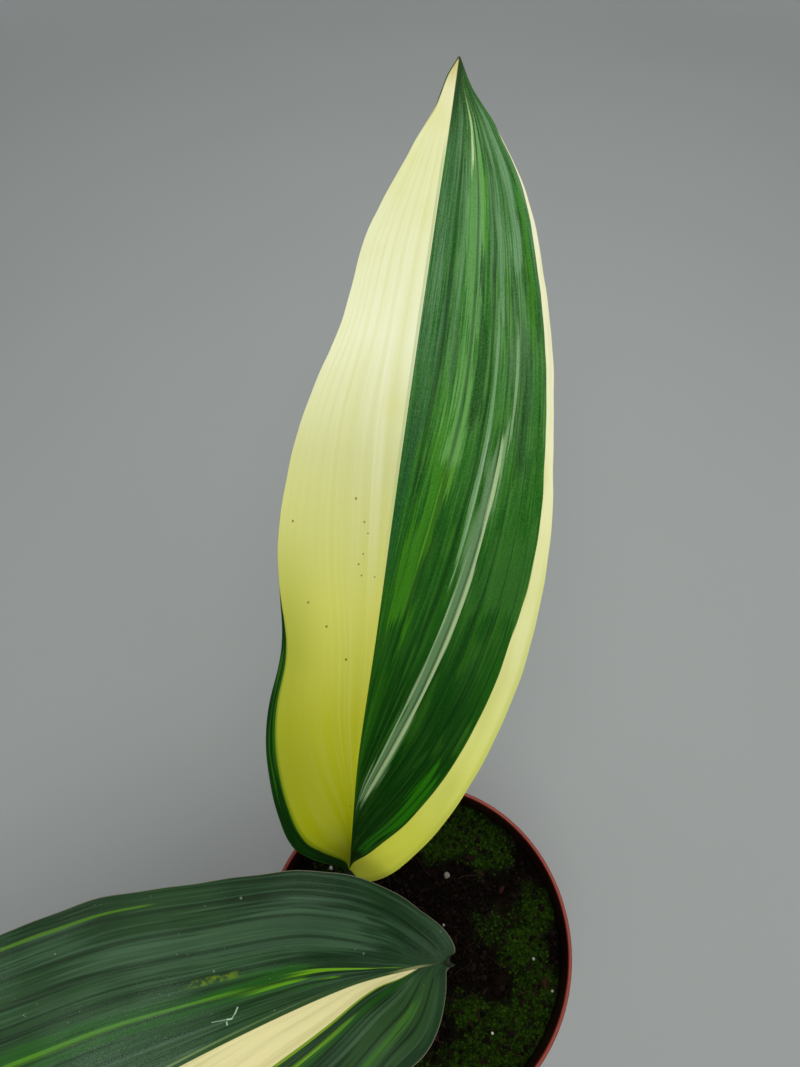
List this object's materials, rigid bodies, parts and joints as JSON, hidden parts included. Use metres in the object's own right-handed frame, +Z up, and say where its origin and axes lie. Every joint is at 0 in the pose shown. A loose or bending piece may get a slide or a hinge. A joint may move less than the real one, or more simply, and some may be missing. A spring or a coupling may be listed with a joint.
{
  "type": "potted cast iron plant",
  "caption": "Variegated cast iron plant with an upright and a leaning broad leaf on channelled stalks, growing from a rhizome in a soil-filled plastic nursery pot.",
  "frame": {"origin": "centre of the pot's base, on the surface that it stands on", "axes": "+Z up along the pot's axis; +Y roughly along the upright leaf, away from the camera of the picture; +X to the right in the picture"},
  "size_m": [0.3843, 0.4718, 0.2972],
  "materials": {
    "pot_plastic": "satin",
    "soil": "matte",
    "rhizome": "matte",
    "stalk": "satin",
    "sheath": "matte",
    "blade_cream_green": "satin",
    "blade_dark_green": "satin"
  },
  "bodies": {
    "root": {"pot": "pot_plastic", "soil": "soil", "rhizome": "rhizome", "petiole_upright": "stalk", "petiole_leaning": "stalk", "sheath_inner_upright": "sheath", "sheath_outer_upright": "sheath", "sheath_inner_leaning": "sheath", "sheath_outer_leaning": "sheath", "blade_upright": "blade_cream_green", "blade_leaning": "blade_dark_green"}
  },
  "joints": []
}
